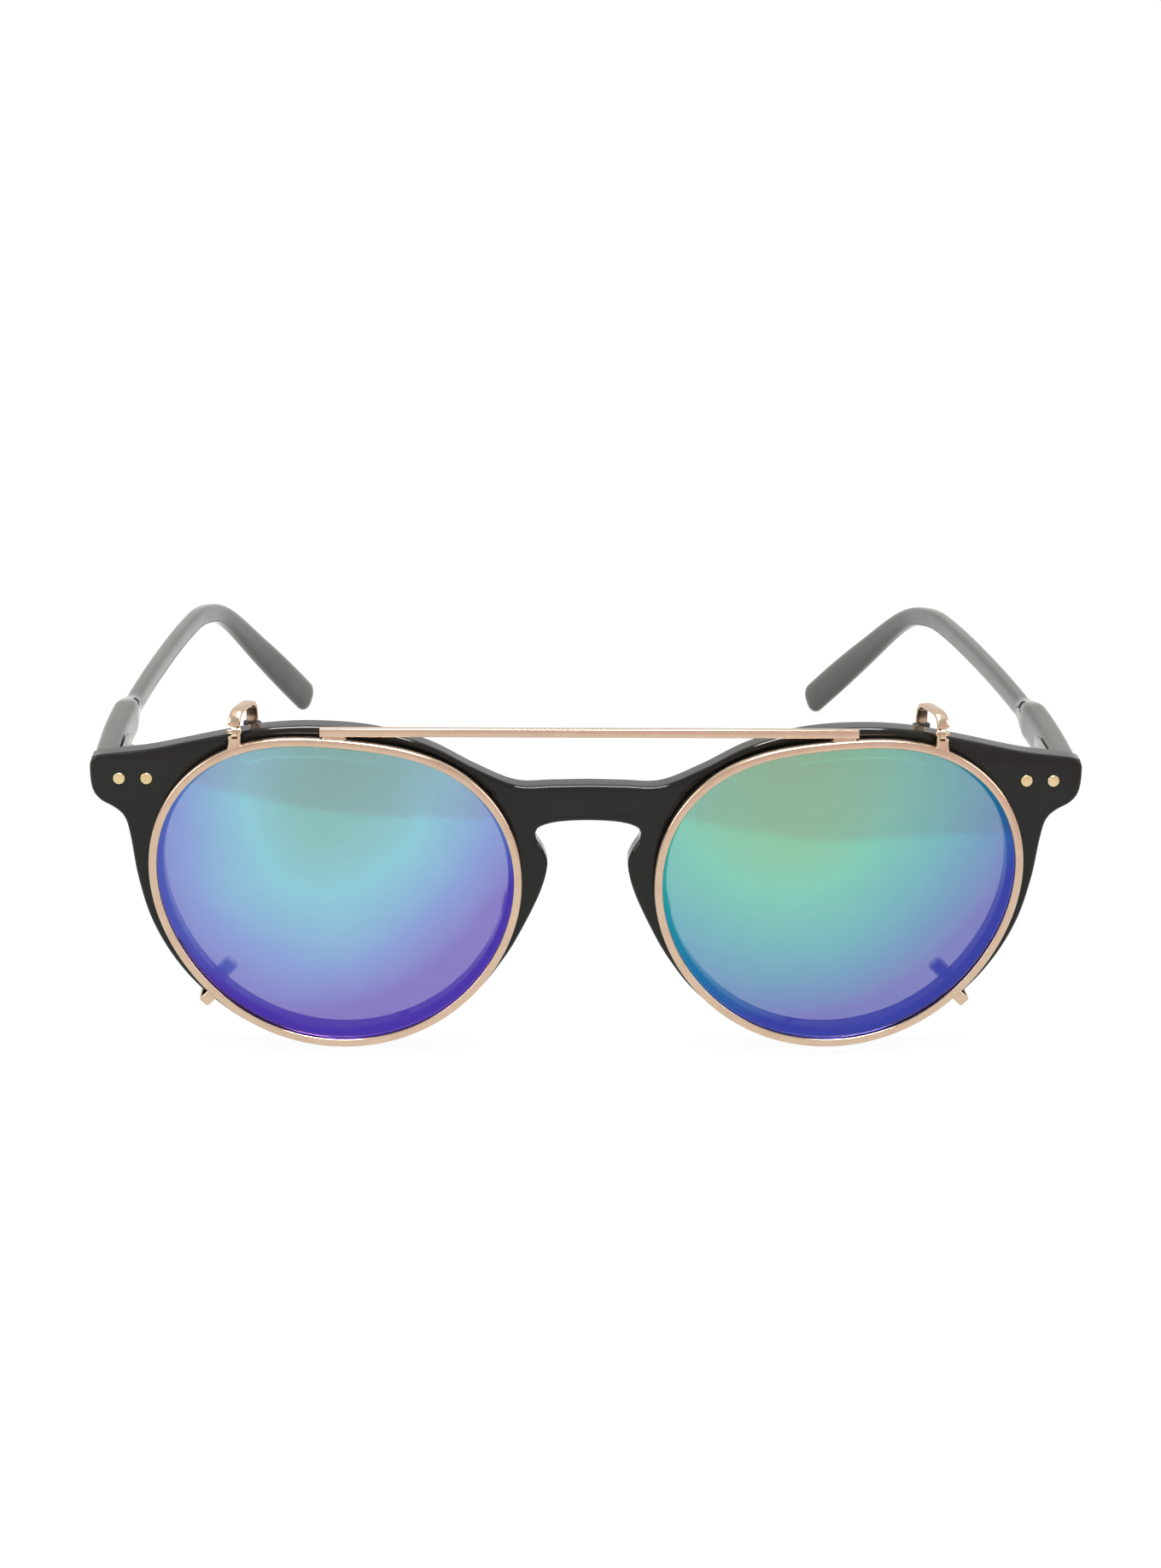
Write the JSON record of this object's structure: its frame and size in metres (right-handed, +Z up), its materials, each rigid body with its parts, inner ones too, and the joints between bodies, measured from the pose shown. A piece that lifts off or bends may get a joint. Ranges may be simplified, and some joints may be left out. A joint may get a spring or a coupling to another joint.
{
  "type": "clip on flip lenses",
  "caption": "Round plastic spectacles with folding temples, wearing a wire clip-on with mirrored sun lenses that flips up on hooks over the front.",
  "frame": {"origin": "centre of the bounding box at the level the glasses stand on", "axes": "+X to the right as seen from the front, -Y the way the lenses face, +Z up"},
  "size_m": [0.1394, 0.1362, 0.0503],
  "materials": {
    "black_acetate": "polished black plastic",
    "clear_lens": "clear lens",
    "mirror_tint": "blue-green mirror coating over a dark tint",
    "champagne_metal": "polished champagne-gold plating",
    "rivet_brass": "polished",
    "hinge_steel": "satin",
    "black_rubber": "matt",
    "clear_silicone": "translucent, soft"
  },
  "bodies": {
    "frame": {"frame_front": "black_acetate", "left_clear_lens": "clear_lens", "left_hinge_front_leaf": "hinge_steel", "left_hinge_screw": "hinge_steel", "left_inner_rivet": "rivet_brass", "left_outer_rivet": "rivet_brass", "right_clear_lens": "clear_lens", "right_hinge_front_leaf": "hinge_steel", "right_hinge_screw": "hinge_steel", "right_inner_rivet": "rivet_brass", "right_outer_rivet": "rivet_brass"},
    "left_temple": {"left_temple": "black_acetate", "left_hinge_temple_leaf": "hinge_steel"},
    "right_temple": {"right_temple": "black_acetate", "right_hinge_temple_leaf": "hinge_steel"},
    "clip_hooks": {"left_top_hook": "champagne_metal", "left_top_hook_sleeve": "black_rubber", "left_flip_pin": "champagne_metal", "right_top_hook": "champagne_metal", "right_top_hook_sleeve": "black_rubber", "right_flip_pin": "champagne_metal"},
    "flip_lenses": {"brow_bar": "champagne_metal", "left_clip_rim": "champagne_metal", "left_mirror_lens": "mirror_tint", "left_hook_post": "champagne_metal", "left_bottom_hook": "champagne_metal", "left_bottom_hook_sleeve": "clear_silicone", "right_clip_rim": "champagne_metal", "right_mirror_lens": "mirror_tint", "right_hook_post": "champagne_metal", "right_bottom_hook": "champagne_metal", "right_bottom_hook_sleeve": "clear_silicone"}
  },
  "joints": [
    {"name": "left_temple_fold", "type": "hinge", "parent": "frame", "child": "left_temple", "pos_m": [-0.0646, -0.05508, 0.03951], "axis": [0, -0.0976, -0.9952], "range_deg": [0, 66]},
    {"name": "right_temple_fold", "type": "hinge", "parent": "frame", "child": "right_temple", "pos_m": [0.0646, -0.05508, 0.03951], "axis": [0, 0.0976, 0.9952], "range_deg": [0, 80]},
    {"name": "clip_lift_off", "type": "slide", "parent": "frame", "child": "clip_hooks", "axis": [0, 0.0976, 0.9952], "range_m": [0, 0.012], "deforming": ["left_bottom_hook", "left_bottom_hook_sleeve", "right_bottom_hook", "right_bottom_hook_sleeve"]},
    {"name": "lens_flip", "type": "hinge", "parent": "clip_hooks", "child": "flip_lenses", "pos_m": [0, -0.062, 0.04755], "axis": [-1, 0, 0], "range_deg": [0, 90], "deforming": ["left_bottom_hook", "left_bottom_hook_sleeve", "right_bottom_hook", "right_bottom_hook_sleeve"]}
  ]
}
